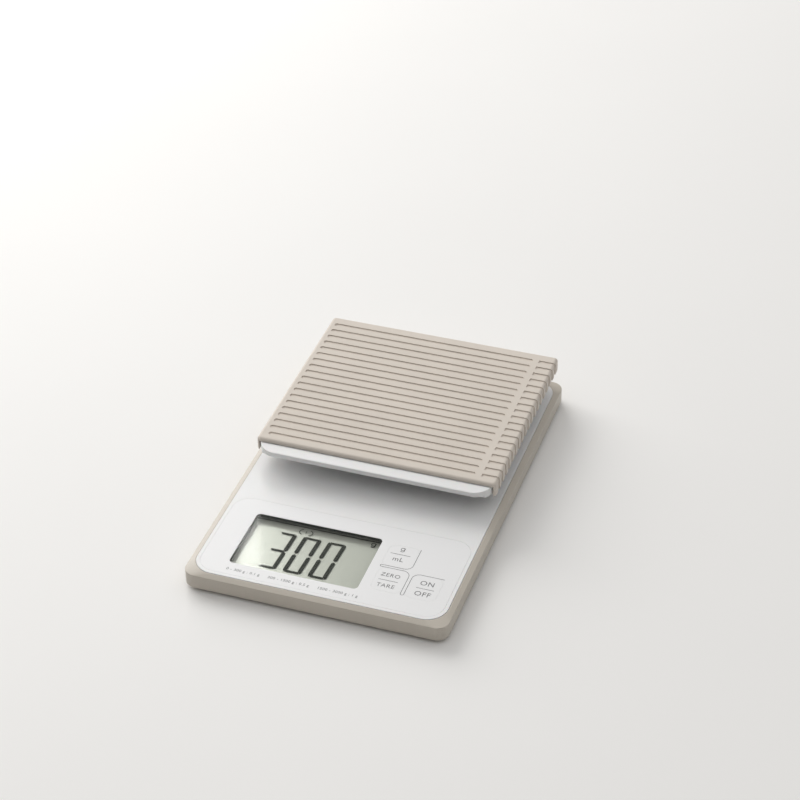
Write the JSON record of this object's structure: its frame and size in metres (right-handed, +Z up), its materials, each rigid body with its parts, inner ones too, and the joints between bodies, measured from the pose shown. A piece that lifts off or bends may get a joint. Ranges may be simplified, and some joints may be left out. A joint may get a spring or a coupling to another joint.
{
  "type": "digital scale",
  "caption": "Slim digital kitchen scale with a grooved silicone-covered platform, recessed display and flush keys.",
  "frame": {"origin": "on the table, under the middle of the case", "axes": "+X to the right, +Y from the display end to the platform end, +Z up"},
  "size_m": [0.149, 0.228, 0.0295],
  "materials": {
    "case_taupe": "fine satin moulding",
    "white_plastic": "smooth semi-gloss",
    "white_film": "smooth satin film",
    "clear_window": "clear gloss",
    "lcd_glass": "clear gloss",
    "lcd_reflector": "satin grey-green reflector",
    "dark_plastic": "satin",
    "grey_rubber": "matt",
    "taupe_silicone": "matt silicone",
    "board_green": "solder mask",
    "gauge_foil": "polyimide foil",
    "bare_aluminium": "milled",
    "screw_steel": "zinc plated",
    "contact_nickel": "nickel plated",
    "spider_plastic": "glass-filled plastic",
    "battery_jacket": "plain satin jacket",
    "cable_jacket": "satin",
    "lead_red": "satin",
    "blank_label": "blank film"
  },
  "bodies": {
    "base": {"base_housing": "case_taupe", "top_cover": "white_plastic", "overlay_film": "white_film", "display_window": "clear_window", "lcd_front_glass": "lcd_glass", "lcd_rear_glass": "lcd_reflector", "display_bezel": "dark_plastic", "switch_housings": "dark_plastic", "controller_chip": "dark_plastic", "amplifier_chip": "dark_plastic", "zebra_strips": "grey_rubber", "rubber_feet": "grey_rubber", "main_board": "board_green", "strain_gauges": "gauge_foil", "load_cell_beam": "bare_aluminium", "capacitors": "bare_aluminium", "cell_spacer": "screw_steel", "board_screws": "screw_steel", "case_screws": "screw_steel", "cell_base_screws": "screw_steel", "overload_stops": "screw_steel", "battery_contacts": "contact_nickel", "battery_springs": "contact_nickel", "batteries": "battery_jacket", "load_cell_cable": "cable_jacket", "battery_leads": "lead_red", "underside_label": "blank_label"},
    "platform": {"platform_spider": "spider_plastic", "cell_post_screws": "screw_steel", "platform_tray": "white_plastic", "tray_screws": "screw_steel"},
    "soft_cover": {"silicone_cover": "taupe_silicone"},
    "battery_door": {"battery_cover": "case_taupe"},
    "unit_key": {"unit_key": "white_film", "unit_switch_plunger": "dark_plastic"},
    "tare_key": {"tare_key": "white_film", "tare_switch_plunger": "dark_plastic"},
    "power_key": {"power_key": "white_film", "power_switch_plunger": "dark_plastic"}
  },
  "joints": [
    {"name": "platform_press", "type": "slide", "parent": "base", "child": "platform", "axis": [0, 0, 1], "range_m": [-0.0005, 0], "stiffness_N_per_m": 60000, "deforming": ["load_cell_beam"]},
    {"name": "cover_lift", "type": "slide", "parent": "platform", "child": "soft_cover", "axis": [0, 0, 1], "range_m": [0, 0.03]},
    {"name": "battery_cover_hinge", "type": "hinge", "parent": "base", "child": "battery_door", "pos_m": [0.032, 0.0764, 0.002], "axis": [1, 0, 0], "range_deg": [0, 70]},
    {"name": "unit_key_press", "type": "slide", "parent": "base", "child": "unit_key", "axis": [0, 0, 1], "range_m": [-0.0003, 0], "stiffness_N_per_m": 6000},
    {"name": "tare_key_press", "type": "slide", "parent": "base", "child": "tare_key", "axis": [0, 0, 1], "range_m": [-0.0003, 0], "stiffness_N_per_m": 6000},
    {"name": "power_key_press", "type": "slide", "parent": "base", "child": "power_key", "axis": [0, 0, 1], "range_m": [-0.0003, 0], "stiffness_N_per_m": 6000}
  ]
}
